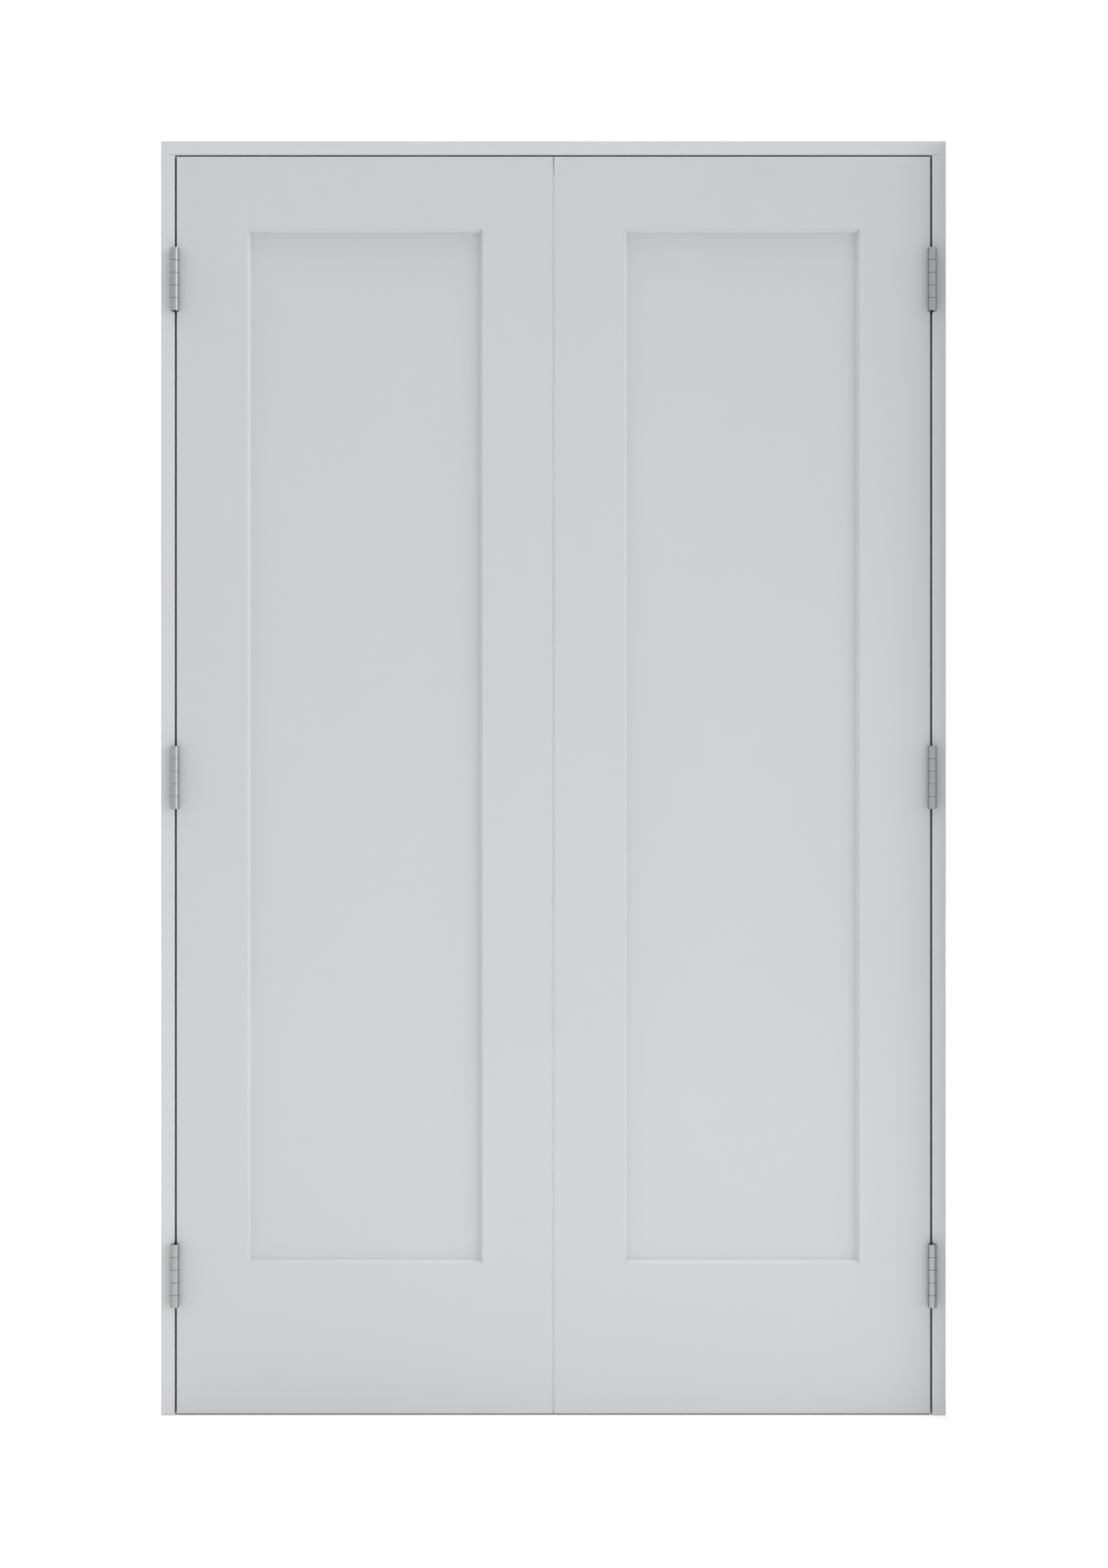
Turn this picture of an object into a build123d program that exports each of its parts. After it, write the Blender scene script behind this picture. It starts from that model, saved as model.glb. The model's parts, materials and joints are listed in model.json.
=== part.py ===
from build123d import *
from math import radians, tan
import os

# A pair of one-panel doors hung on butt hinges in a three-sided wooden frame.
# X runs across the doorway, Y away from the side the leaves open to, Z up.
# The origin is on the floor, at the middle of the doorway and of the frame's depth.

# Door leaves
leaf_width = 609.6
leaf_height = 2032.0
leaf_thickness = 34.9
stile_width = 114.3
top_rail_height = 116.0
bottom_rail_height = 242.0
panel_recess = 9.5
sticking_run = 4.5
groove_depth = 12.0
panel_play = 1.0
meeting_bevel_angle = 3.0
leaf_easing = 1.2

# Gaps round the leaves
side_gap = 3.3
head_gap = 3.4
meeting_gap = 0.4
floor_gap = 3.0
stop_gap = 1.0

# Frame
jamb_thickness = 21.5
jamb_depth = 115.9
jamb_easing = 1.5
head_housing = 9.5
kerf_width = 3.2
kerf_depth = 6.0
kerf_spacing = 48.0
stop_thickness = 11.1
stop_width = 34.9
stop_easing = 2.0

# Hinges
hinge_count = 3
hinge_height = 102.0
upper_hinge_drop = 200.0
lower_hinge_rise = 224.0
plate_thickness = 3.2
plate_backset = 6.3
plate_fit = 0.2
knuckle_count = 5
knuckle_gap = 0.3
barrel_clearance = 0.6
roll_seam = 1.4
pin_radius = 4.0
pin_clearance = 0.05
pin_recess = 3.0

# How far every cut runs past the faces that it opens
overrun = 1.0

# Places shared by the pieces, worked out from the sizes above
half_clear = leaf_width + meeting_gap / 2 + side_gap
front_y = -jamb_depth / 2
leaf_back_y = front_y + leaf_thickness
leaf_middle_y = front_y + leaf_thickness / 2
leaf_top = floor_gap + leaf_height
head_underside = leaf_top + head_gap
frame_top = head_underside + jamb_thickness
hinge_edge_x = -half_clear + side_gap
meeting_edge_x = hinge_edge_x + leaf_width
meeting_bevel = leaf_thickness * tan(radians(meeting_bevel_angle))
panel_thickness = leaf_thickness - 2 * panel_recess
groove_floor = stile_width + sticking_run - groove_depth
tongue_reach = stile_width - groove_floor
stop_front_y = leaf_back_y + stop_gap

plate_depth = leaf_thickness - plate_backset
bore_radius = pin_radius + pin_clearance
barrel_radius = bore_radius + plate_thickness
axis_x = -half_clear + side_gap / 2
axis_y = front_y - barrel_clearance - barrel_radius
neck_length = front_y - axis_y
knuckle_pitch = hinge_height / knuckle_count
hinge_spacing = (leaf_height - upper_hinge_drop - lower_hinge_rise) / (hinge_count - 1)
hinge_middles = [leaf_top - upper_hinge_drop - i * hinge_spacing for i in range(hinge_count)]
hinge_bottoms = [middle - hinge_height / 2 for middle in hinge_middles]


def sticking_outline(edge, width, inward, bevel):
    """A stile's or rail's section, as (across, depth) points from its outer edge to its grooved inner edge.

    The inner edge slopes down to the panel on both faces, and the groove between the slopes holds the panel.
    """
    sight = edge + inward * width
    tip = sight + inward * sticking_run
    floor = tip - inward * groove_depth
    recess_front = front_y + panel_recess
    recess_back = leaf_back_y - panel_recess
    return [
        (edge, front_y),
        (sight, front_y),
        (tip, recess_front),
        (floor, recess_front),
        (floor, recess_back),
        (tip, recess_back),
        (sight, leaf_back_y),
        (edge + inward * bevel, leaf_back_y),
    ]


def hinge_plates(face_x, into, first_knuckle):
    """The plates let flush into one wooden face, each with every second knuckle of its barrel rolled from it.

    The sheet curls round the pin and ends at an open seam beside the plate.
    """
    starts = [i * knuckle_pitch + knuckle_gap / 2 for i in range(first_knuckle, knuckle_count, 2)]
    knuckle_planes = [Plane.XY.offset(bottom + start) for bottom in hinge_bottoms for start in starts]
    with BuildPart() as plates:
        with BuildSketch(Plane.YZ.offset(face_x)):
            with Locations(*[(front_y + plate_depth / 2, middle) for middle in hinge_middles]):
                Rectangle(plate_depth, hinge_height)
        extrude(amount=into * plate_thickness)
        with BuildSketch(*knuckle_planes):
            with Locations((axis_x, axis_y)):
                Circle(barrel_radius)
            with Locations((face_x + into * plate_thickness / 2, axis_y + neck_length / 2)):
                Rectangle(plate_thickness, neck_length)
            with Locations((axis_x, axis_y)):
                Circle(bore_radius, mode=Mode.SUBTRACT)
            with Locations((face_x - into * roll_seam / 2, axis_y + neck_length / 2)):
                Rectangle(roll_seam, neck_length, mode=Mode.SUBTRACT)
        extrude(amount=knuckle_pitch - knuckle_gap)
    return plates


# Pockets that the hinge plates lie in, open at the front, on both sides of the gap
with BuildPart() as jamb_pockets:
    with BuildSketch(Plane.YZ.offset(-half_clear + overrun)):
        pocket_depth = plate_depth + plate_fit + overrun
        with Locations(*[(front_y - overrun + pocket_depth / 2, z) for z in hinge_middles]):
            Rectangle(pocket_depth, hinge_height + 2 * plate_fit)
    extrude(amount=-plate_thickness - overrun)

with BuildPart() as leaf_pockets:
    mirror(jamb_pockets.part, about=Plane.YZ.offset(axis_x))

# Side jamb: kerfs in its back against warping, a rebate for the head, the hinge pockets
with BuildPart() as left_jamb:
    with BuildSketch():
        with Locations((-half_clear - jamb_thickness / 2, 0)):
            Rectangle(jamb_thickness, jamb_depth)
        with Locations((-half_clear - jamb_thickness + kerf_depth / 2, 0)):
            with GridLocations(0, kerf_spacing, 1, 2):
                Rectangle(kerf_depth, kerf_width, mode=Mode.SUBTRACT)
    extrude(amount=frame_top)
    chamfer(left_jamb.edges().filter_by(Axis.Z).group_by(Axis.X)[-1], length=jamb_easing)
    with BuildSketch(Plane.XY.offset(head_underside)):
        with Locations((-half_clear - head_housing / 2 + overrun / 2, 0)):
            Rectangle(head_housing + overrun, jamb_depth + 2 * overrun)
    extrude(amount=jamb_thickness + overrun, mode=Mode.SUBTRACT)
    add(jamb_pockets.part, mode=Mode.SUBTRACT)

# Head jamb: housed at both ends in the side jambs
with BuildPart() as head_jamb:
    with BuildSketch(Plane.YZ.offset(-half_clear - head_housing)):
        with Locations((0, head_underside + jamb_thickness / 2)):
            Rectangle(jamb_depth, jamb_thickness)
        with Locations((0, frame_top - kerf_depth / 2)):
            with GridLocations(kerf_spacing, 0, 2, 1):
                Rectangle(kerf_width, kerf_depth, mode=Mode.SUBTRACT)
    extrude(amount=2 * (half_clear + head_housing))
    chamfer(head_jamb.edges().filter_by(Axis.X).group_by(Axis.Z)[0], length=jamb_easing)

# Stops: the head stop runs from jamb to jamb, the side stops stand under it
with BuildPart() as head_stop:
    with BuildSketch(Plane.YZ.offset(-half_clear)):
        with Locations((stop_front_y + stop_width / 2, head_underside - stop_thickness / 2)):
            Rectangle(stop_width, stop_thickness)
    extrude(amount=2 * half_clear)
    chamfer(head_stop.edges().filter_by(Axis.X).group_by(Axis.Z)[0], length=stop_easing)

with BuildPart() as left_stop:
    with BuildSketch():
        with Locations((-half_clear + stop_thickness / 2, stop_front_y + stop_width / 2)):
            Rectangle(stop_thickness, stop_width)
    extrude(amount=head_underside - stop_thickness)
    chamfer(left_stop.edges().filter_by(Axis.Z).group_by(Axis.X)[-1], length=stop_easing)

# Stiles: full height, sloped and grooved along the panel's side
with BuildPart() as left_hinge_stile:
    with BuildSketch(Plane.XY.offset(floor_gap)):
        with BuildLine():
            Polyline(*sticking_outline(hinge_edge_x, stile_width, 1, 0), close=True)
        make_face()
    extrude(amount=leaf_height)
    chamfer(left_hinge_stile.edges().filter_by(Axis.Z).sort_by(Axis.X)[:2], length=leaf_easing)
    add(leaf_pockets.part, mode=Mode.SUBTRACT)

with BuildPart() as left_meeting_stile:
    with BuildSketch(Plane.XY.offset(floor_gap)):
        with BuildLine():
            Polyline(*sticking_outline(meeting_edge_x, stile_width, -1, meeting_bevel), close=True)
        make_face()
    extrude(amount=leaf_height)
    chamfer(left_meeting_stile.edges().filter_by(Axis.Z).sort_by(Axis.X)[-2:], length=leaf_easing)

# Rails: their ends are scribed over the stiles' slopes, with tongues that fill the stiles' grooves
rail_start_x = hinge_edge_x + groove_floor
rail_length = leaf_width - 2 * groove_floor

with BuildPart() as left_top_rail:
    with BuildSketch(Plane.YZ.offset(rail_start_x)):
        with BuildLine():
            outline = sticking_outline(leaf_top, top_rail_height, -1, 0)
            Polyline(*[(depth, across) for across, depth in outline], close=True)
        make_face()
    extrude(amount=rail_length)
    add(left_hinge_stile.part, mode=Mode.SUBTRACT)
    add(left_meeting_stile.part, mode=Mode.SUBTRACT)

with BuildPart() as left_bottom_rail:
    with BuildSketch(Plane.YZ.offset(rail_start_x)):
        with BuildLine():
            outline = sticking_outline(floor_gap, bottom_rail_height, 1, 0)
            Polyline(*[(depth, across) for across, depth in outline], close=True)
        make_face()
    extrude(amount=rail_length)
    add(left_hinge_stile.part, mode=Mode.SUBTRACT)
    add(left_meeting_stile.part, mode=Mode.SUBTRACT)

# Panel: flat, held in the grooves with room to swell across and along
panel_width = rail_length - 2 * panel_play
panel_bottom = floor_gap + bottom_rail_height - tongue_reach + panel_play
panel_top = leaf_top - top_rail_height + tongue_reach - panel_play

with BuildPart() as left_panel:
    with BuildSketch(Plane.XY.offset(panel_bottom)):
        with Locations((hinge_edge_x + leaf_width / 2, leaf_middle_y)):
            Rectangle(panel_width, panel_thickness)
    extrude(amount=panel_top - panel_bottom)

# Hinge plates: the jamb's have the outer and middle knuckles, the leaf's the two between them
left_jamb_hinge_plates = hinge_plates(-half_clear, -1, 0)
left_leaf_hinge_plates = hinge_plates(hinge_edge_x, 1, 1)

# Hinge pins: level with the top knuckle, and stopping short inside the lowest one
with BuildPart() as left_hinge_pins:
    with BuildSketch(*[Plane.XY.offset(bottom + pin_recess) for bottom in hinge_bottoms]):
        with Locations((axis_x, axis_y)):
            Circle(pin_radius)
    extrude(amount=hinge_height - pin_recess - knuckle_gap / 2)

# The right-hand pieces are the left-hand ones mirrored about the middle of the doorway
left_pieces = {
    "left_jamb": left_jamb,
    "left_stop": left_stop,
    "left_hinge_stile": left_hinge_stile,
    "left_meeting_stile": left_meeting_stile,
    "left_top_rail": left_top_rail,
    "left_bottom_rail": left_bottom_rail,
    "left_panel": left_panel,
    "left_jamb_hinge_plates": left_jamb_hinge_plates,
    "left_leaf_hinge_plates": left_leaf_hinge_plates,
    "left_hinge_pins": left_hinge_pins,
}
finished = {"head_jamb": head_jamb, "head_stop": head_stop}
for left_name, left_piece in left_pieces.items():
    with BuildPart() as right_piece:
        mirror(left_piece.part, about=Plane.YZ)
    finished[left_name] = left_piece
    finished[left_name.replace("left", "right", 1)] = right_piece

os.makedirs("parts", exist_ok=True)
for name, piece in finished.items():
    piece.part.label = name
    export_step(piece.part, f"parts/{name}.step")
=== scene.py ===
"""Finishes for a pair of one-panel doors in their frame, with hinges, screws and a white stage."""
import json
import math

import bmesh
import bpy
from bpy.props import FloatProperty, FloatVectorProperty, IntProperty, PointerProperty
from mathutils import Matrix, Vector


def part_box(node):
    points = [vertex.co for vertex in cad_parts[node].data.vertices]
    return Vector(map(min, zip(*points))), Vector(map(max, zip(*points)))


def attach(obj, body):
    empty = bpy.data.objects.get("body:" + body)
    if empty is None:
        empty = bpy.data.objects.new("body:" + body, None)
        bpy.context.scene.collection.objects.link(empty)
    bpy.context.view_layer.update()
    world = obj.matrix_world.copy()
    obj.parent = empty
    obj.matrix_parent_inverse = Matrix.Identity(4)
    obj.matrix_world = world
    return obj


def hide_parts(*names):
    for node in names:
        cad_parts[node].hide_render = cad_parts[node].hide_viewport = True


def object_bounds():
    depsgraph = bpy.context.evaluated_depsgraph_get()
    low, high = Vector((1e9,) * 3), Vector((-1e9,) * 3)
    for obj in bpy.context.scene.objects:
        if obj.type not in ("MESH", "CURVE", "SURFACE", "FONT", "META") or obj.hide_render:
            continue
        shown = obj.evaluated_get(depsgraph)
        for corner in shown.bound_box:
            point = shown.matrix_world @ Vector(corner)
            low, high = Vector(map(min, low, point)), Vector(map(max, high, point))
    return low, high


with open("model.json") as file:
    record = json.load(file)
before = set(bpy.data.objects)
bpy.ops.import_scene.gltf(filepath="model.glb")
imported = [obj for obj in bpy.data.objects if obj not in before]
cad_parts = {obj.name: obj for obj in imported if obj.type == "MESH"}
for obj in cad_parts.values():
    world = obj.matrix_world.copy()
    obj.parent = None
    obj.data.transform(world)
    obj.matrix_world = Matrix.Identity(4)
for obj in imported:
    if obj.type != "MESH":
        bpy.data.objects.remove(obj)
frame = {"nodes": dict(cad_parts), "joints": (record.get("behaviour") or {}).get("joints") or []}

bl_info = {
    "name": "French doors",
    "version": (1, 0, 0),
    "blender": (4, 5, 0),
    "location": "View3D > Sidebar > Doors",
    "description": "Paints a pair of framed doors, makes their hinges and screws, and sets a white stage",
    "category": "Object",
}

cad_low, cad_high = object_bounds()

ACROSS, DEPTH, UP = range(3)
SIDES = {"left": -1, "right": 1}

# The axis that the wood of a piece runs along, and the nodes of each run
RUNS = {"upright": UP, "level": ACROSS}
LEAF_NODES = {
    "upright": ["hinge_stile", "meeting_stile", "panel"],
    "level": ["top_rail", "bottom_rail"],
}
FRAME_NODES = {
    "upright": ["left_jamb", "right_jamb", "left_stop", "right_stop"],
    "level": ["head_jamb", "head_stop"],
}

# Boxes of the frame on its right-hand side, and a hinge's sizes that follow from them, in metres
SWING_AXIS = next(Vector(j["pos_m"]) for j in frame["joints"] if j["name"] == "right_door_swing")
plates_low, plates_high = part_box("right_jamb_hinge_plates")
pins_low, pins_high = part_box("right_hinge_pins")
jamb_low, jamb_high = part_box("right_jamb")
stile_low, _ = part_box("right_hinge_stile")
head_low, head_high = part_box("head_jamb")
FACE_OFFSET = jamb_low.x - SWING_AXIS.x
PLATE_FRONT = stile_low.y - SWING_AXIS.y
PLATE_BACK = plates_high.y - SWING_AXIS.y
BARREL_RADIUS = SWING_AXIS.y - plates_low.y
PIN_RADIUS = (pins_high.x - pins_low.x) / 2
PIN_CLEARANCE = 0.00005
BORE_RADIUS = PIN_RADIUS + PIN_CLEARANCE
PLATE_THICKNESS = BARREL_RADIUS - BORE_RADIUS
PIN_RECESS = pins_low.z - plates_low.z
PIN_SHORTFALL = plates_high.z - pins_high.z

# The values that a noise mostly takes, and those of the sum of two
NOISE_RANGE = (0.3, 0.7)
NOISE_SUM_RANGE = (0.7, 1.3)
FINE_DETAIL = 3.0

# Primer: how far its roughness strays from the mean, and where its painted shade on the meeting edges has
# faded, in widths of that shade
PRIMER_SPECULAR = 0.4
PRIMER_STRAY = 0.05
GAP_SHADE_FADE = 1.3

# Pine: its share on the wall faces and the cut ends, from what depth under them in metres, and its tones
BARE_ON_FACES = 0.62
BARE_ON_ENDS = 0.7
BARE_FROM = 0.0008
BARE_FULLY_FROM = 0.0002
SANDED_RANGE = (0.35, 0.65)
SANDED_SHARES = (0.6, 1.0)
BLOCK_TONES = (0.84, 1.08)
GRAIN_TONES = (-0.14, 0.1)
GRAIN_WIDTH = 0.0035
GRAIN_LENGTH = 0.12

# Nickel: its brushed streaks in metres, its tones, and how far its roughness strays from the mean
STREAK_WIDTH = 0.0005
STREAK_LENGTH = 0.018
STREAK_DETAIL = 4.0
STREAK_ROUGHNESS = 0.65
STREAK_TONES = (0.94, 1.04)
STREAK_HEIGHT = 0.000005
STREAK_STRENGTH = 0.15
MOTTLE_SCALE = 110.0
MOTTLE_TONES = (-0.02, 0.02)
NICKEL_STRAY = 0.04

# Roundings: flat edges are taken out and close points welded first, then sharp edges are rounded
SHARP_ANGLE = math.radians(32)
FLAT_ANGLE = math.radians(1)
ROUNDING_SEGMENTS = 2
WELDS_PER_WIDTH = 100

# Countersunk holes: radii in those of the screw head, depth in plate thicknesses, flare past the face
HOLE_MOUTH = 1.16
HOLE_NECK = 0.55
HOLE_FLARE = 0.8
SINK_DEPTH = 0.75
TURNED_STEPS = 40

# Pins, in their radius, and how many times finer their rounding is than that of the plates
PIN_CHAMFER = 0.12
PIN_MARK = 0.3
PIN_FINENESS = 3

# Screw heads, in their radius: (radius, height) of the turned form, then the two slots of the cross
SCREW_PROFILE = ((0, -0.62), (0.5, -0.58), (0.96, -0.1), (1, 0), (0.97, 0.03), (0.5, 0.05), (0, 0.055))
SLOT_ARMS = ((0.58, 0.115), (0.115, 0.58))
SLOT_CORNERS = ((-1, -1), (1, -1), (1, 1), (-1, 1))
SLOT_FLOOR = -0.4
SLOT_ROOF = 0.2
SLOT_TAPER = 0.6
SCREW_SINK = 0.06
SCREW_FINENESS = 4

# Stage: the floor and the lamp over it in lengths of the object's diagonal, gaps in metres
WHITE = (1.0, 1.0, 1.0, 1.0)
FLOOR_REACH = 6
FLOOR_GAP = 0.0005
FLOOR_ROUGHNESS = 0.9
FLOOR_LAMP_SIDE = 0.2
FLOOR_LAMP_AHEAD = 0.53
FLOOR_LAMP_HEIGHT = 1.2
FLOOR_LAMP_SPREAD = math.radians(50)
BACK_SIDE = math.radians(205)
BACK_RISE = math.radians(30)
BACK_WIDTH = math.radians(60)
FLAG_GAP = 0.004
FLAG_COLOUR = (0.1, 0.1, 0.1, 1.0)

# How far a direction points ahead or behind, where the sky starts to dim and where it is dimmest
SKY_FALL = (0.3, 0.9)


def linear(*levels):
    """A colour given in 8-bit display levels, as linear light."""
    shares = [level / 255 for level in levels]
    return [s / 12.92 if s <= 0.04045 else ((s + 0.055) / 1.055) ** 2.4 for s in shares]


class PaintSettings(bpy.types.PropertyGroup):
    """Primer on the leaves and on the frame."""

    leaf_colour: FloatVectorProperty(
        name="Leaf primer", description="Colour of the primer on the leaves",
        subtype="COLOR", size=3, min=0, max=1, default=linear(206, 207, 209),
    )
    frame_colour: FloatVectorProperty(
        name="Frame primer", description="Colour of the primer on the frame",
        subtype="COLOR", size=3, min=0, max=1, default=linear(212, 213, 216),
    )
    pine_colour: FloatVectorProperty(
        name="Pine", description="Colour of the wood that shows through on the faces against the wall",
        subtype="COLOR", size=3, min=0, max=1, default=linear(196, 172, 132),
    )
    roughness: FloatProperty(
        name="Roughness", description="Mean roughness of the dry primer",
        subtype="FACTOR", min=0, max=1, default=0.5,
    )
    cloud_size: FloatProperty(
        name="Cloud size", description="Width of the soft lighter and darker areas of a sprayed coat",
        unit="LENGTH", min=0.01, default=0.45,
    )
    cloud_depth: FloatProperty(
        name="Cloud depth", description="Share by which those areas differ in tone",
        subtype="FACTOR", min=0, max=0.2, default=0.02,
    )
    stipple_size: FloatProperty(
        name="Stipple size", description="Width of the fine bumps in the coat",
        unit="LENGTH", min=0.0001, default=0.0011,
    )
    stipple_height: FloatProperty(
        name="Stipple height", description="Height of the fine bumps in the coat",
        unit="LENGTH", min=0, default=0.00002,
    )
    sanding_width: FloatProperty(
        name="Sanding width", description="Width of the faint sanding lines under the coat",
        unit="LENGTH", min=0.0001, default=0.0016,
    )
    sanding_length: FloatProperty(
        name="Sanding length", description="Length of the faint sanding lines under the coat",
        unit="LENGTH", min=0.001, default=0.16,
    )
    sanding_height: FloatProperty(
        name="Sanding height", description="Height of the faint sanding lines under the coat",
        unit="LENGTH", min=0, default=0.000025,
    )
    block_length: FloatProperty(
        name="Block length", description="Length of the pine blocks that are finger-jointed into a jamb",
        unit="LENGTH", min=0.05, default=0.34,
    )
    finger_width: FloatProperty(
        name="Finger width", description="Pitch of the fingers where two pine blocks meet",
        unit="LENGTH", min=0.001, default=0.0068,
    )
    finger_length: FloatProperty(
        name="Finger length", description="Reach of the fingers where two pine blocks meet",
        unit="LENGTH", min=0.001, default=0.011,
    )
    # Painted shade: the primer on the front edges where the leaves meet is painted darker, standing in for
    # the shade of the gap between the leaves
    gap_shade_width: FloatProperty(
        name="Gap shade width", description="Width of the painted gap shade on the front edges where the leaves meet",
        unit="LENGTH", min=0.0001, default=0.0014,
    )
    gap_shade_depth: FloatProperty(
        name="Gap shade depth", description="Share by which the painted gap shade is darker",
        subtype="FACTOR", min=0, max=1, default=0.2,
    )


class HingeSettings(bpy.types.PropertyGroup):
    """Butt hinges, their pins and their screws."""

    count: IntProperty(name="Hinges", description="Hinges on each leaf", min=2, max=5, default=3)
    height: FloatProperty(
        name="Hinge height", description="Height of a hinge plate", unit="LENGTH", min=0.02, default=0.102,
    )
    knuckles: IntProperty(name="Knuckles", description="Knuckles of a barrel", min=3, max=9, default=5)
    knuckle_gap: FloatProperty(
        name="Knuckle gap", description="Gap between two knuckles", unit="LENGTH", min=0, default=0.0005,
    )
    seam: FloatProperty(
        name="Seam", description="Gap where the rolled sheet ends beside its plate",
        unit="LENGTH", min=0.0001, default=0.0014,
    )
    rounding: FloatProperty(
        name="Edge rounding", description="Width of the rounding along the metal's edges",
        unit="LENGTH", min=0, default=0.0006,
    )
    arc_steps: IntProperty(
        name="Arc steps", description="Flats round a knuckle", min=12, max=200, default=72,
    )
    colour: FloatVectorProperty(
        name="Satin nickel", description="Colour of the plated metal",
        subtype="COLOR", size=3, min=0, max=1, default=linear(158, 159, 161),
    )
    roughness: FloatProperty(
        name="Roughness", description="Mean roughness of the plated metal",
        subtype="FACTOR", min=0, max=1, default=0.38,
    )
    screws: IntProperty(name="Screws", description="Screws in a plate", min=1, max=8, default=3)
    screw_radius: FloatProperty(
        name="Screw head radius", description="Radius of a screw's flat head",
        unit="LENGTH", min=0.001, default=0.0042,
    )
    screw_spread: FloatProperty(
        name="Screw spread", description="Distance between two screws along a plate",
        unit="LENGTH", min=0.005, default=0.037,
    )
    screw_inset: FloatProperty(
        name="Screw inset", description="Distance of the outer screws from the plate's front edge",
        unit="LENGTH", min=0.005, default=0.0095,
    )
    screw_stagger: FloatProperty(
        name="Screw stagger", description="How much further in the middle screw sits",
        unit="LENGTH", min=0, default=0.0105,
    )
    seed: IntProperty(name="Seed", description="Seed of the turns of the screws", min=0, default=7)


class StageSettings(bpy.types.PropertyGroup):
    """Camera, lamps and floor."""

    camera_distance: FloatProperty(
        name="Camera distance", description="Distance of the camera from the leaves' front",
        unit="LENGTH", min=0.5, default=3.5221,
    )
    camera_height: FloatProperty(
        name="Camera height", description="Height of the camera above the floor",
        unit="LENGTH", min=0, default=1.0206,
    )
    camera_side: FloatProperty(
        name="Camera side", description="How far right of the middle the camera stands",
        unit="LENGTH", default=0.0008,
    )
    lens: FloatProperty(name="Lens", description="Focal length in millimetres", min=10, default=50)
    floor_colour: FloatVectorProperty(
        name="Floor", description="Colour of the floor", subtype="COLOR", size=3, min=0, max=1,
        default=(0.9, 0.9, 0.9),
    )
    floor_glow: FloatProperty(
        name="Floor glow", description="Light that the floor adds towards the camera to come out white",
        min=0, max=1, default=0.15,
    )
    sky: FloatProperty(
        name="Sky", description="Strength of the soft light from both sides and from above", min=0, max=2,
        default=1.31,
    )
    sky_ahead: FloatProperty(
        name="Sky ahead", description="Share of that light that comes from straight ahead or behind",
        subtype="FACTOR", min=0, max=1, default=0.11,
    )
    key_strength: FloatProperty(
        name="Key light", description="Strength of the soft light from the front right", min=0, default=0.9,
    )
    key_side: FloatProperty(
        name="Key side", description="How far to the right the key light comes from",
        subtype="ANGLE", default=math.radians(62),
    )
    key_rise: FloatProperty(
        name="Key rise", description="How far above the floor the key light comes from",
        subtype="ANGLE", default=math.radians(4),
    )
    key_width: FloatProperty(
        name="Key width", description="Angle that the key light fills",
        subtype="ANGLE", default=math.radians(50),
    )
    floor_power: FloatProperty(
        name="Floor lamp", description="Power of the lamp that shines down on the floor in front",
        unit="POWER", min=0, default=12.5,
    )
    back_strength: FloatProperty(
        name="Back light", description="Strength of the soft light from behind", min=0, default=0.85,
    )
    flag_depth: FloatProperty(
        name="Flag depth", description="Depth of the net that shades the right-hand edge",
        unit="LENGTH", min=0, default=0.045,
    )
    flag_cover: FloatProperty(
        name="Flag cover", description="Share of the light that the net holds back",
        subtype="FACTOR", min=0, max=1, default=0.6,
    )


def add_node(tree, kind, inputs=None, **settings):
    """Adds a node with its settings, and gives each named or numbered input a value or a link."""
    made = tree.nodes.new(kind)
    for name, value in settings.items():
        setattr(made, name, value)
    for key, value in (inputs or {}).items():
        if isinstance(value, bpy.types.NodeSocket):
            tree.links.new(value, made.inputs[key])
        else:
            made.inputs[key].default_value = value
    return made


def computed(tree, operation, *values):
    """A Math node's result for these values or links."""
    return add_node(tree, "ShaderNodeMath", dict(enumerate(values)), operation=operation).outputs[0]


def spread(tree, value, low, high, start=0.0, end=1.0):
    """Maps a value between start and end onto low to high, held at the ends."""
    inputs = {"Value": value, "From Min": start, "From Max": end, "To Min": low, "To Max": high}
    return add_node(tree, "ShaderNodeMapRange", inputs, clamp=True).outputs[0]


def mixed_colour(tree, factor, first, second, mode="MIX"):
    """A mix of two colours or links, by the numbers of the Mix node's colour sockets."""
    inputs = {0: factor, 6: first, 7: second}
    return add_node(tree, "ShaderNodeMix", inputs, data_type="RGBA", blend_type=mode).outputs[2]


def noise(tree, place, scale, detail=2.0, roughness=0.5):
    """A noise texture's value at a place."""
    inputs = {"Vector": place, "Scale": scale, "Detail": detail, "Roughness": roughness}
    return add_node(tree, "ShaderNodeTexNoise", inputs).outputs[0]


def split(tree, place):
    """The three coordinates of a place."""
    return add_node(tree, "ShaderNodeSeparateXYZ", {"Vector": place}).outputs


def stretched(tree, place, along, width, length):
    """A place scaled so that a unit noise makes streaks of this width and length along one axis."""
    scales = [1 / width] * 3
    scales[along] = 1 / length
    return add_node(tree, "ShaderNodeMapping", {"Vector": place, "Scale": scales}).outputs[0]


def bumped(tree, height, distance, strength=1.0, over=None):
    """The normal of a bumpy surface, on top of another normal where one is given."""
    inputs = {"Strength": strength, "Distance": distance, "Height": height}
    if over is not None:
        inputs["Normal"] = over
    return add_node(tree, "ShaderNodeBump", inputs).outputs[0]


def new_material(name):
    """A material with a bare node tree, its Principled shader and its object coordinates."""
    material = bpy.data.materials.new(name)
    material.use_nodes = True
    tree = material.node_tree
    tree.nodes.clear()
    shader = add_node(tree, "ShaderNodeBsdfPrincipled")
    add_node(tree, "ShaderNodeOutputMaterial", {"Surface": shader.outputs[0]})
    place = add_node(tree, "ShaderNodeTexCoord").outputs["Object"]
    return material, tree, shader, place


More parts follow.
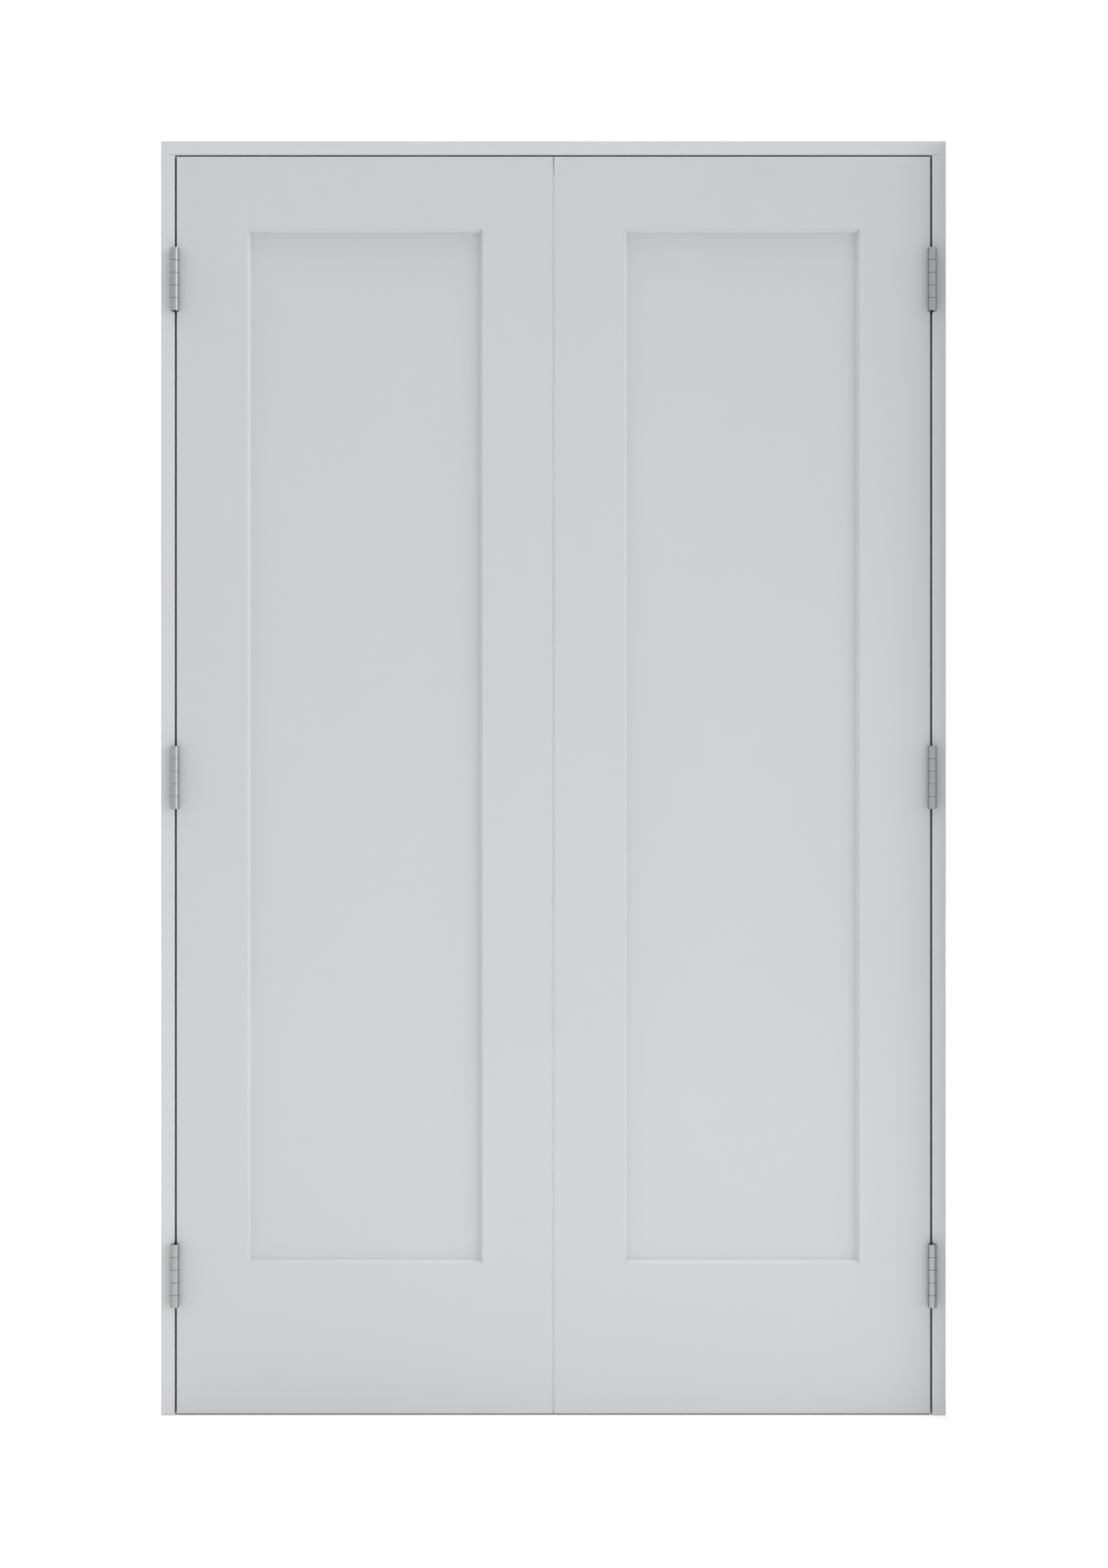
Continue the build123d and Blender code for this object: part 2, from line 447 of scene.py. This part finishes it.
def pine_blocks(tree, place, paint, along):
    """Finger-jointed pine: blocks of differing tone that meet in zigzags, with grain along them."""
    axes = split(tree, place)
    zigzag = computed(tree, "PINGPONG", axes[DEPTH], paint.finger_width / 2)
    reach = computed(tree, "MULTIPLY", zigzag, 2 * paint.finger_length / paint.finger_width)
    shifted = computed(tree, "ADD", axes[along], reach)
    block = computed(tree, "FLOOR", computed(tree, "DIVIDE", shifted, paint.block_length))
    tone = add_node(tree, "ShaderNodeTexWhiteNoise", {"W": block}, noise_dimensions="1D").outputs["Value"]
    grain = noise(tree, stretched(tree, place, along, GRAIN_WIDTH, GRAIN_LENGTH), 1.0, FINE_DETAIL)
    streaked = spread(tree, grain, *GRAIN_TONES, *NOISE_RANGE)
    light = computed(tree, "ADD", spread(tree, tone, *BLOCK_TONES), streaked)
    return mixed_colour(tree, 1.0, [*paint.pine_colour, 1.0], light, "MULTIPLY")


def bare_wood(tree, place, along, wall, sanding):
    """Share of the pine in the look of the faces against the wall and of the cut ends, and 0 elsewhere."""
    wall_axis, wall_place, end_place = wall
    axes = split(tree, place)
    distance = computed(tree, "ABSOLUTE", axes[wall_axis])
    face = spread(tree, distance, 0.0, BARE_ON_FACES, wall_place - BARE_FROM, wall_place - BARE_FULLY_FROM)
    end = spread(tree, axes[along], 0.0, BARE_ON_ENDS, end_place - BARE_FROM, end_place - BARE_FULLY_FROM)
    bare = computed(tree, "MAXIMUM", face, end)
    return computed(tree, "MULTIPLY", bare, spread(tree, sanding, *SANDED_SHARES, *SANDED_RANGE))


def gap_shade_edges(tree, place, paint, front):
    """Mask of the painted shade: 1 on the eased front edges where the leaves meet, and 0 on the rest of
    them.
    """
    axes = split(tree, place)
    fade = paint.gap_shade_width * GAP_SHADE_FADE
    beside = spread(tree, computed(tree, "ABSOLUTE", axes[ACROSS]), 1.0, 0.0, paint.gap_shade_width, fade)
    outside = spread(tree, axes[DEPTH], 1.0, 0.0, front + paint.gap_shade_width, front + fade)
    return computed(tree, "MULTIPLY", beside, outside)


def primer(name, colour, paint, along, wall=None, front=None):
    """Sprayed and sanded primer, streaked along one axis.

    Where a wall is given, as its axis, its distance and that of the cut ends, the pine shows through there.
    Where the leaves' front is given, the primer is painted darker on the edges where they meet, as painted
    shade of the gap between them.
    """
    material, tree, shader, place = new_material(name)
    cloud = noise(tree, place, 1 / paint.cloud_size)
    tone = spread(tree, cloud, 1 - paint.cloud_depth, 1.0, *NOISE_RANGE)
    # Painted shade: darkens the primer on the front edges where the leaves meet, standing in for the shade
    # of the gap between them
    if front is not None:
        gap_shade_factor = spread(tree, gap_shade_edges(tree, place, paint, front), 1.0, 1 - paint.gap_shade_depth)
        tone = computed(tree, "MULTIPLY", tone, gap_shade_factor)
    coat = mixed_colour(tree, 1.0, [*colour, 1.0], tone, "MULTIPLY")
    lines = stretched(tree, place, along, paint.sanding_width, paint.sanding_length)
    sanding = noise(tree, lines, 1.0, FINE_DETAIL)
    stipple = noise(tree, place, 1 / paint.stipple_size, 1.0)
    if wall:
        thin = bare_wood(tree, place, along, wall, sanding)
        coat = mixed_colour(tree, thin, coat, pine_blocks(tree, place, paint, along))
    tree.links.new(coat, shader.inputs["Base Color"])
    stray = computed(tree, "ADD", cloud, sanding)
    smoothest = paint.roughness - PRIMER_STRAY
    roughest = paint.roughness + PRIMER_STRAY
    gloss = spread(tree, stray, smoothest, roughest, *NOISE_SUM_RANGE)
    tree.links.new(gloss, shader.inputs["Roughness"])
    sanded = bumped(tree, sanding, paint.sanding_height)
    stippled = bumped(tree, stipple, paint.stipple_height, over=sanded)
    tree.links.new(stippled, shader.inputs["Normal"])
    shader.inputs["Specular IOR Level"].default_value = PRIMER_SPECULAR
    return material


def satin_nickel(name, hinge, streak_axis):
    """Brushed nickel plate: fine streaks along one axis, with a little mottling in tone and gloss."""
    material, tree, shader, place = new_material(name)
    lines = stretched(tree, place, streak_axis, STREAK_WIDTH, STREAK_LENGTH)
    streaks = noise(tree, lines, 1.0, STREAK_DETAIL, STREAK_ROUGHNESS)
    mottle = noise(tree, place, MOTTLE_SCALE, FINE_DETAIL)
    streaked = spread(tree, streaks, *STREAK_TONES, *NOISE_RANGE)
    mottled = spread(tree, mottle, *MOTTLE_TONES, *NOISE_RANGE)
    tone = computed(tree, "ADD", streaked, mottled)
    plate = mixed_colour(tree, 1.0, [*hinge.colour, 1.0], tone, "MULTIPLY")
    tree.links.new(plate, shader.inputs["Base Color"])
    smoothest = hinge.roughness - NICKEL_STRAY
    roughest = hinge.roughness + NICKEL_STRAY
    gloss = spread(tree, streaks, smoothest, roughest, *NOISE_RANGE)
    tree.links.new(gloss, shader.inputs["Roughness"])
    brushed = bumped(tree, streaks, STREAK_HEIGHT, STREAK_STRENGTH)
    tree.links.new(brushed, shader.inputs["Normal"])
    shader.inputs["Metallic"].default_value = 1.0
    return material


def paint_node(name, material):
    """Gives a frame node its finish."""
    node = frame["nodes"][name]
    if not node.material_slots:
        raise RuntimeError(f"{name} has no material slot to paint")
    for slot in node.material_slots:
        slot.material = material


def new_object(name, data):
    """An object at the origin, in the scene."""
    made = bpy.data.objects.new(name, data)
    bpy.context.scene.collection.objects.link(made)
    return made


def discard(*objects):
    """Removes helper objects and their meshes."""
    for made in objects:
        mesh = made.data
        bpy.data.objects.remove(made)
        bpy.data.meshes.remove(mesh)


def mesh_from(name, shape):
    """A mesh made from a finished shape, which is freed."""
    bmesh.ops.recalc_face_normals(shape, faces=shape.faces)
    mesh = bpy.data.meshes.new(name)
    shape.to_mesh(mesh)
    shape.free()
    return mesh


def worked(made):
    """Turns an object's modifiers into its plain mesh, and returns the object."""
    bpy.context.view_layer.update()
    seen = made.evaluated_get(bpy.context.evaluated_depsgraph_get())
    mesh = bpy.data.meshes.new_from_object(seen)
    mesh.name = made.name
    old = made.data
    made.modifiers.clear()
    made.data = mesh
    bpy.data.meshes.remove(old)
    return made


def combined(base, tool, operation):
    """Joins a tool to a base or cuts it from it, and removes the tool."""
    modifier = base.modifiers.new("shape", "BOOLEAN")
    modifier.operation = operation
    modifier.solver = "EXACT"
    modifier.object = tool
    worked(base)
    discard(tool)


def eased(made, width):
    """Rounds the sharp edges, and shades the rounded ones smooth."""
    shape = bmesh.new()
    shape.from_mesh(made.data)
    bmesh.ops.remove_doubles(shape, verts=shape.verts, dist=width / WELDS_PER_WIDTH)
    bmesh.ops.dissolve_limit(shape, angle_limit=FLAT_ANGLE, verts=shape.verts, edges=shape.edges)
    old = made.data
    made.data = mesh_from(made.name, shape)
    bpy.data.meshes.remove(old)
    bevel = made.modifiers.new("rounding", "BEVEL")
    bevel.width = width
    bevel.segments = ROUNDING_SEGMENTS
    bevel.limit_method = "ANGLE"
    bevel.angle_limit = SHARP_ANGLE
    bevel.harden_normals = False
    worked(made)
    made.data.shade_smooth()
    made.data.set_sharp_from_angle(angle=SHARP_ANGLE)
    return made


def levelled(made):
    """Keeps the roundings from bending the shading of the large faces, once any mirroring is done."""
    level = made.modifiers.new("level", "WEIGHTED_NORMAL")
    level.keep_sharp = True
    return worked(made)


def prism(shape, outline, low, high):
    """Adds a closed prism over an outline in X and Y, between two heights."""
    floor = [shape.verts.new((x, y, low)) for x, y in outline]
    roof = [shape.verts.new((x, y, high)) for x, y in outline]
    shape.faces.new(reversed(floor))
    shape.faces.new(roof)
    for i, corner in enumerate(floor):
        after = (i + 1) % len(outline)
        shape.faces.new((corner, floor[after], roof[after], roof[i]))


def turned(shape, profile, steps):
    """Adds a closed solid turned about Z from (radius, height) points that start and end on the axis."""
    angles = [2 * math.pi * i / steps for i in range(steps)]
    rings = []
    for radius, height in profile:
        ring = [(radius * math.cos(a), radius * math.sin(a), height) for a in angles]
        if radius == 0:
            ring = [(0, 0, height)]
        rings.append([shape.verts.new(point) for point in ring])
    for lower, upper in zip(rings, rings[1:]):
        for i in range(steps):
            after = (i + 1) % steps
            corners = [lower[i % len(lower)], lower[after % len(lower)]]
            corners += [upper[after % len(upper)], upper[i % len(upper)]]
            shape.faces.new(list(dict.fromkeys(corners)))


def arc(radius, start, end, steps):
    """Points along an arc about the origin."""
    angles = [start + (end - start) * i / steps for i in range(steps + 1)]
    return [(radius * math.cos(a), radius * math.sin(a)) for a in angles]


def knuckle_outline(hinge):
    """Section of a rolled knuckle about its pin: X towards its plate, Y towards the wood."""
    outer = FACE_OFFSET + PLATE_THICKNESS
    roll_end = FACE_OFFSET - hinge.seam
    root = PLATE_FRONT + PLATE_THICKNESS
    outside = arc(
        BARREL_RADIUS, math.acos(outer / BARREL_RADIUS),
        math.acos(roll_end / BARREL_RADIUS) - 2 * math.pi, hinge.arc_steps,
    )
    inside = arc(
        BORE_RADIUS, math.acos(roll_end / BORE_RADIUS),
        math.acos(FACE_OFFSET / BORE_RADIUS) + 2 * math.pi, hinge.arc_steps,
    )
    return [(outer, root), *outside, *inside, (FACE_OFFSET, root)]


def screw_places(hinge):
    """Where the screws sit in a plate, as (depth from the pin's axis, height from the plate's middle)."""
    middle = (hinge.screws - 1) / 2
    front = PLATE_FRONT + hinge.screw_inset
    return [
        (front + hinge.screw_stagger * (i % 2), (middle - i) * hinge.screw_spread)
        for i in range(hinge.screws)
    ]


def screw_hole(hinge, depth, height):
    """A mesh that cuts one countersunk hole, and reaches a little past both faces of the plate."""
    past = PLATE_THICKNESS / 2
    front = FACE_OFFSET - past
    back = FACE_OFFSET + PLATE_THICKNESS + past
    mouth = hinge.screw_radius * HOLE_MOUTH + past * HOLE_FLARE
    neck = hinge.screw_radius * HOLE_NECK
    sunk = FACE_OFFSET + PLATE_THICKNESS * SINK_DEPTH
    hole = bmesh.new()
    turned(hole, [(0, front), (mouth, front), (neck, sunk), (neck, back), (0, back)], TURNED_STEPS)
    placed = Matrix.Translation((0, depth, height)) @ Matrix.Rotation(math.pi / 2, 4, "Y")
    bmesh.ops.transform(hole, matrix=placed, verts=hole.verts)
    return mesh_from("hole", hole)


def hinge_plate(hinge, first_knuckle):
    """One plate with every second knuckle rolled from it and its holes, about the pin's middle."""
    half = hinge.height / 2
    pitch = hinge.height / hinge.knuckles
    back = FACE_OFFSET + PLATE_THICKNESS
    outline = [
        (FACE_OFFSET, PLATE_FRONT), (back, PLATE_FRONT), (back, PLATE_BACK), (FACE_OFFSET, PLATE_BACK),
    ]
    sheet = bmesh.new()
    prism(sheet, outline, -half, half)
    plate = new_object("plate", mesh_from("plate", sheet))
    rolls = bmesh.new()
    for i in range(first_knuckle, hinge.knuckles, 2):
        low = -half + i * pitch + hinge.knuckle_gap / 2
        prism(rolls, knuckle_outline(hinge), low, low + pitch - hinge.knuckle_gap)
    combined(plate, new_object("rolls", mesh_from("rolls", rolls)), "UNION")
    sinks = bmesh.new()
    for depth, height in screw_places(hinge):
        hole = screw_hole(hinge, depth, height)
        sinks.from_mesh(hole)
        bpy.data.meshes.remove(hole)
    combined(plate, new_object("sinks", mesh_from("sinks", sinks)), "DIFFERENCE")
    return eased(plate, hinge.rounding)


def hinge_pin(hinge):
    """One pin about its hinge's middle, chamfered at both ends, with a shallow turning mark in its top."""
    low = -hinge.height / 2 + PIN_RECESS
    high = hinge.height / 2 - PIN_SHORTFALL
    chamfer = PIN_RADIUS * PIN_CHAMFER
    shape = bmesh.new()
    profile = [
        (0, low), (PIN_RADIUS - chamfer, low), (PIN_RADIUS, low + chamfer),
        (PIN_RADIUS, high - chamfer), (PIN_RADIUS - chamfer, high),
        (PIN_RADIUS * PIN_MARK, high), (0, high - chamfer),
    ]
    turned(shape, profile, hinge.arc_steps)
    return eased(new_object("pin", mesh_from("pin", shape)), hinge.rounding / PIN_FINENESS)


def screw_head(hinge):
    """A flat cross-recessed head whose rim lies at the origin and faces +X."""
    radius = hinge.screw_radius
    shape = bmesh.new()
    turned(shape, [(radius * out, radius * rise) for out, rise in SCREW_PROFILE], TURNED_STEPS)
    head = new_object("screw", mesh_from("screw", shape))
    for half_width, half_depth in SLOT_ARMS:
        mouth = [(x * half_width * radius, y * half_depth * radius) for x, y in SLOT_CORNERS]
        slot = bmesh.new()
        prism(slot, mouth, radius * SLOT_FLOOR, radius * SLOT_ROOF)
        for vert in slot.verts:
            if vert.co.z < 0:
                vert.co.xy *= SLOT_TAPER
        combined(head, new_object("slot", mesh_from("slot", slot)), "DIFFERENCE")
    eased(head, hinge.rounding / SCREW_FINENESS)
    head.data.transform(Matrix.Rotation(math.pi / 2, 4, "Y"))
    return levelled(head)


def add_socket(tree, name, kind, default=None, inward=True):
    """Adds a named input or output to a geometry tree."""
    socket = tree.interface.new_socket(name, in_out="INPUT" if inward else "OUTPUT", socket_type=kind)
    if default is not None:
        socket.default_value = default


def repeat_tree():
    """A tree that sets a shape in rows, each copy turned by chance about X where a turn is given."""
    tree = bpy.data.node_groups.new("repeat_fitting", "GeometryNodeTree")
    add_socket(tree, "Geometry", "NodeSocketGeometry")
    add_socket(tree, "First", "NodeSocketVector")
    add_socket(tree, "Per Row", "NodeSocketInt", 1)
    add_socket(tree, "Step", "NodeSocketVector")
    add_socket(tree, "Stagger", "NodeSocketVector")
    add_socket(tree, "Rows", "NodeSocketInt", 1)
    add_socket(tree, "Row Step", "NodeSocketVector")
    add_socket(tree, "Turn", "NodeSocketFloat", 0.0)
    add_socket(tree, "Seed", "NodeSocketInt", 0)
    add_socket(tree, "Material", "NodeSocketMaterial")
    add_socket(tree, "Geometry", "NodeSocketGeometry", inward=False)
    given = add_node(tree, "NodeGroupInput").outputs
    row = add_node(
        tree, "GeometryNodeMeshLine",
        {"Count": given["Per Row"], "Start Location": given["First"], "Offset": given["Step"]},
    ).outputs[0]
    index = add_node(tree, "GeometryNodeInputIndex").outputs[0]
    odd = computed(tree, "MODULO", index, 2.0)
    shift = add_node(
        tree, "ShaderNodeVectorMath", {0: given["Stagger"], "Scale": odd}, operation="SCALE",
    ).outputs[0]
    staggered = add_node(tree, "GeometryNodeSetPosition", {"Geometry": row, "Offset": shift}).outputs[0]
    rows = add_node(
        tree, "GeometryNodeMeshLine", {"Count": given["Rows"], "Offset": given["Row Step"]},
    ).outputs[0]
    places = add_node(
        tree, "GeometryNodeInstanceOnPoints", {"Points": rows, "Instance": staggered},
    ).outputs[0]
    points = add_node(tree, "GeometryNodeRealizeInstances", {"Geometry": places}).outputs[0]
    # A plain random number's limit and result go by their numbers, as other kinds share their names
    chance = add_node(
        tree, "FunctionNodeRandomValue", {3: given["Turn"], "Seed": given["Seed"]}, data_type="FLOAT",
    ).outputs[1]
    turn = add_node(tree, "ShaderNodeCombineXYZ", {"X": chance}).outputs[0]
    copies = add_node(
        tree, "GeometryNodeInstanceOnPoints",
        {"Points": points, "Instance": given["Geometry"], "Rotation": turn},
    ).outputs[0]
    solid = add_node(tree, "GeometryNodeRealizeInstances", {"Geometry": copies}).outputs[0]
    finished = add_node(
        tree, "GeometryNodeSetMaterial", {"Geometry": solid, "Material": given["Material"]},
    ).outputs[0]
    add_node(tree, "NodeGroupOutput", {"Geometry": finished})
    return tree


def repeated(name, shape, values):
    """A new piece: a shape's mesh repeated by the tree with these inputs, as a plain mesh."""
    tree = bpy.data.node_groups.get("repeat_fitting") or repeat_tree()
    piece = new_object(name, shape.data.copy())
    modifier = piece.modifiers.new("repeat", "NODES")
    modifier.node_group = tree
    for item in tree.interface.items_tree:
        if item.in_out == "INPUT" and item.name in values:
            modifier[item.identifier] = values[item.name]
    return worked(piece)


def placed_copy(shape, side, into):
    """A copy of a shape made about a pin, set at a side's pin, with its X kept or turned round."""
    copy = new_object("copy", shape.data.copy())
    place = Matrix.Translation((side * SWING_AXIS.x, SWING_AXIS.y, 0)) @ Matrix.Diagonal((into, 1, 1, 1))
    copy.data.transform(place)
    if into < 0:
        copy.data.flip_normals()
    return levelled(copy)


def hinge_heights(hinge):
    """Height of the top hinge's middle, and the step down to the next."""
    top = plates_high.z - hinge.height / 2
    bottom = plates_low.z + hinge.height / 2
    return top, (bottom - top) / (hinge.count - 1)


class DOORS_OT_paint_leaves(bpy.types.Operator):
    """Primes the stiles, rails and panels of both leaves"""

    bl_idname = "doors.paint_leaves"
    bl_label = "Paint leaves"

    def execute(self, context):
        paint = context.scene.doors_paint
        for run, along in RUNS.items():
            # Giving the leaves' front paints shade on the edges where the leaves meet
            material = primer(f"leaf_primer_{run}", paint.leaf_colour, paint, along, front=stile_low.y)
            for side in SIDES:
                for part in LEAF_NODES[run]:
                    paint_node(f"{side}_{part}", material)
        return {"FINISHED"}


class DOORS_OT_paint_frame(bpy.types.Operator):
    """Primes the jambs and stops, thinly where they stand against the wall"""

    bl_idname = "doors.paint_frame"
    bl_label = "Paint frame"

    def execute(self, context):
        paint = context.scene.doors_paint
        walls = {
            "upright": (ACROSS, jamb_high.x, head_high.z),
            "level": (UP, head_high.z, jamb_high.x),
        }
        for run, along in RUNS.items():
            material = primer(f"frame_primer_{run}", paint.frame_colour, paint, along, walls[run])
            for name in FRAME_NODES[run]:
                paint_node(name, material)
        return {"FINISHED"}


class DOORS_OT_make_hinges(bpy.types.Operator):
    """Makes the hinge plates with their rolled knuckles, and the pins"""

    bl_idname = "doors.make_hinges"
    bl_label = "Make hinges"

    def execute(self, context):
        hinge = context.scene.doors_hinges
        nickel = satin_nickel("satin_nickel", hinge, UP)
        top, step = hinge_heights(hinge)
        row = {"First": (0, 0, top), "Per Row": hinge.count, "Step": (0, 0, step), "Material": nickel}
        jamb_plate = hinge_plate(hinge, first_knuckle=0)
        leaf_plate = hinge_plate(hinge, first_knuckle=1)
        pin = hinge_pin(hinge)
        for side, sign in SIDES.items():
            shapes = (
                ("jamb_hinge_plates", jamb_plate, sign, "frame"),
                ("leaf_hinge_plates", leaf_plate, -sign, f"{side}_door"),
                ("hinge_pins", pin, 1, "frame"),
            )
            for part, shape, into, body in shapes:
                copy = placed_copy(shape, sign, into)
                piece = repeated(f"{side}_{part}_finished", copy, row)
                discard(copy)
                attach(piece, body)
                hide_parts(f"{side}_{part}")
        discard(jamb_plate, leaf_plate, pin)
        return {"FINISHED"}


class DOORS_OT_drive_screws(bpy.types.Operator):
    """Drives the screws of the hinge plates, and those that hold the head between the jambs"""

    bl_idname = "doors.drive_screws"
    bl_label = "Drive screws"

    def execute(self, context):
        hinge = context.scene.doors_hinges
        metal = satin_nickel("screw_nickel", hinge, DEPTH)
        head = screw_head(hinge)
        back = new_object("screw_back", head.data.copy())
        back.data.transform(Matrix.Rotation(math.pi, 4, "Z"))
        top, step = hinge_heights(hinge)
        depth, height = screw_places(hinge)[0]
        sunk = hinge.screw_radius * SCREW_SINK
        plate_rows = {
            "Per Row": hinge.screws,
            "Step": (0, 0, -hinge.screw_spread),
            "Stagger": (0, hinge.screw_stagger, 0),
            "Rows": hinge.count,
            "Row Step": (0, 0, step),
            "Turn": math.pi,
            "Material": metal,
        }
        # The outer screws of a corner sit two thirds of the way from the jamb's middle to its edges
        head_middle = (head_low.z + head_high.z) / 2
        reach = jamb_high.y * 2 / 3
        for side, sign in SIDES.items():
            plates = (("jamb", sign, "frame"), ("leaf", -sign, f"{side}_door"))
            for part, into, body in plates:
                face = sign * SWING_AXIS.x + into * (FACE_OFFSET + sunk)
                values = dict(plate_rows, First=(face, SWING_AXIS.y + depth, top + height))
                values["Seed"] = hinge.seed + into
                piece = repeated(f"{side}_{part}_hinge_screws", back if into > 0 else head, values)
                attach(piece, body)
            corner_row = {
                "First": (sign * jamb_high.x, -reach, head_middle),
                "Per Row": hinge.screws,
                "Step": (0, reach, 0),
                "Turn": math.pi,
                "Seed": hinge.seed + hinge.count,
                "Material": metal,
            }
            piece = repeated(f"{side}_corner_screws", head if sign > 0 else back, corner_row)
            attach(piece, "frame")
        discard(head, back)
        return {"FINISHED"}


def add_lamp(name, kind, strength, place, aim, in_gloss=False, **shape):
    """A soft lamp that isn't seen directly, and shows in gloss only where that is asked for."""
    light = bpy.data.lights.new(name, kind)
    light.energy = strength
    for setting, value in shape.items():
        setattr(light, setting, value)
    lamp = new_object(name, light)
    lamp.location = place
    lamp.rotation_euler = (Vector(aim) - Vector(place)).to_track_quat("-Z", "Y").to_euler()
    lamp.visible_camera = False
    lamp.visible_glossy = in_gloss


def toward(side, rise, distance):
    """A place at an angle to the right of the front, and at one above the floor."""
    level = distance * math.cos(rise)
    return Vector((level * math.sin(side), -level * math.cos(side), distance * math.sin(rise)))


def seen_directly(tree):
    """1 for rays from the camera, from gloss and from glass, and 0 for the rest."""
    path = add_node(tree, "ShaderNodeLightPath").outputs
    shiny = computed(tree, "MAXIMUM", path["Is Glossy Ray"], path["Is Transmission Ray"])
    return computed(tree, "MAXIMUM", path["Is Camera Ray"], shiny)


class DOORS_OT_set_stage(bpy.types.Operator):
    """Sets the floor, the sky, the lamps and the camera"""

    bl_idname = "doors.set_stage"
    bl_label = "Set stage"

    def execute(self, context):
        stage = context.scene.doors_stage
        front = stile_low.y
        reach = (cad_high - cad_low).length
        self.lay_floor(stage, reach)
        self.light_sky(context.scene, stage)
        self.hang_lamps(stage, front, reach)
        self.hang_flag(stage, front)
        self.place_camera(context.scene, stage, front)
        context.scene.view_settings.view_transform = "Standard"
        return {"FINISHED"}

    def lay_floor(self, stage, reach):
        """A pale floor that looks white to the camera and keeps the shadow."""
        shape = bmesh.new()
        bmesh.ops.create_grid(shape, x_segments=1, y_segments=1, size=reach * FLOOR_REACH)
        floor = new_object("floor", mesh_from("floor", shape))
        floor.data.transform(Matrix.Translation((0, 0, cad_low.z - FLOOR_GAP)))
        material, tree, shader, _ = new_material("pale_floor")
        shader.inputs["Base Color"].default_value = [*stage.floor_colour, 1.0]
        shader.inputs["Roughness"].default_value = FLOOR_ROUGHNESS
        shader.inputs["Specular IOR Level"].default_value = 0.0
        shader.inputs["Emission Color"].default_value = WHITE
        glow = computed(tree, "MULTIPLY", seen_directly(tree), stage.floor_glow)
        tree.links.new(glow, shader.inputs["Emission Strength"])
        floor.data.materials.append(material)

    def light_sky(self, scene, stage):
        """Soft white light from the sides and from above, which looks plain white behind the doors."""
        world = bpy.data.worlds.new("white_sky")
        world.use_nodes = True
        tree = world.node_tree
        tree.nodes.clear()
        direction = add_node(tree, "ShaderNodeTexCoord").outputs["Generated"]
        ahead = computed(tree, "ABSOLUTE", split(tree, direction)[DEPTH])
        glow = spread(tree, ahead, stage.sky, stage.sky * stage.sky_ahead, *SKY_FALL)
        strength = spread(tree, seen_directly(tree), glow, 1.0)
        sky = add_node(tree, "ShaderNodeBackground", {"Color": WHITE, "Strength": strength})
        add_node(tree, "ShaderNodeOutputWorld", {"Surface": sky.outputs[0]})
        scene.world = world

    def hang_lamps(self, stage, front, reach):
        """A key light from the right that shows in gloss, one from behind, and a lamp over the floor."""
        aim = Vector((0, front, (cad_low.z + cad_high.z) / 2))
        key = aim + toward(stage.key_side, stage.key_rise, reach)
        add_lamp("key", "SUN", stage.key_strength, key, aim, in_gloss=True, angle=stage.key_width)
        back = aim + toward(BACK_SIDE, BACK_RISE, reach)
        add_lamp("back", "SUN", stage.back_strength, back, aim, angle=BACK_WIDTH)
        ahead = front - reach * FLOOR_LAMP_AHEAD
        above = Vector((reach * FLOOR_LAMP_SIDE, ahead, reach * FLOOR_LAMP_HEIGHT))
        below = Vector((above.x, above.y, cad_low.z))
        lamp = {"size": reach, "spread": FLOOR_LAMP_SPREAD}
        add_lamp("floor_lamp", "AREA", stage.floor_power, above, below, **lamp)

    def hang_flag(self, stage, front):
        """A dark net beside the right jamb that holds some light off its edge, and isn't seen itself."""
        shape = bmesh.new()
        corners = ((front, cad_low.z), (front - stage.flag_depth, cad_low.z))
        corners += ((front - stage.flag_depth, cad_high.z), (front, cad_high.z))
        shape.faces.new([shape.verts.new((cad_high.x + FLAG_GAP, y, z)) for y, z in corners])
        flag = new_object("flag", mesh_from("flag", shape))
        material, _, shader, _ = new_material("dark_net")
        shader.inputs["Base Color"].default_value = FLAG_COLOUR
        shader.inputs["Alpha"].default_value = stage.flag_cover
        flag.data.materials.append(material)
        flag.visible_camera = False
        flag.visible_transmission = False

    def place_camera(self, scene, stage, front):
        """A level camera straight in front of the doors."""
        camera = new_object("camera", bpy.data.cameras.new("camera"))
        camera.data.lens = stage.lens
        camera.location = (stage.camera_side, front - stage.camera_distance, stage.camera_height)
        camera.rotation_euler = (math.pi / 2, 0, 0)
        scene.camera = camera


class DOORS_PT_sidebar(bpy.types.Panel):
    """Lists the steps that dress the doors"""

    bl_idname = "DOORS_PT_sidebar"
    bl_label = "Doors"
    bl_space_type = "VIEW_3D"
    bl_region_type = "UI"
    bl_category = "Doors"

    def draw(self, context):
        column = self.layout.column()
        for step in STEPS:
            column.operator(step.bl_idname)


SETTINGS = {"doors_paint": PaintSettings, "doors_hinges": HingeSettings, "doors_stage": StageSettings}
STEPS = (
    DOORS_OT_paint_leaves,
    DOORS_OT_paint_frame,
    DOORS_OT_make_hinges,
    DOORS_OT_drive_screws,
    DOORS_OT_set_stage,
)


def register():
    """Registers the settings, the steps and the panel."""
    for name, group in SETTINGS.items():
        bpy.utils.register_class(group)
        setattr(bpy.types.Scene, name, PointerProperty(type=group))
    for step in (*STEPS, DOORS_PT_sidebar):
        bpy.utils.register_class(step)


def unregister():
    """Takes back what register added."""
    for step in (DOORS_PT_sidebar, *reversed(STEPS)):
        bpy.utils.unregister_class(step)
    for name, group in SETTINGS.items():
        delattr(bpy.types.Scene, name)
        bpy.utils.unregister_class(group)


def main():
    """Runs the steps in order."""
    register()
    bpy.ops.doors.paint_leaves()
    bpy.ops.doors.paint_frame()
    bpy.ops.doors.make_hinges()
    bpy.ops.doors.drive_screws()
    bpy.ops.doors.set_stage()


if __name__ == "__main__":
    main()
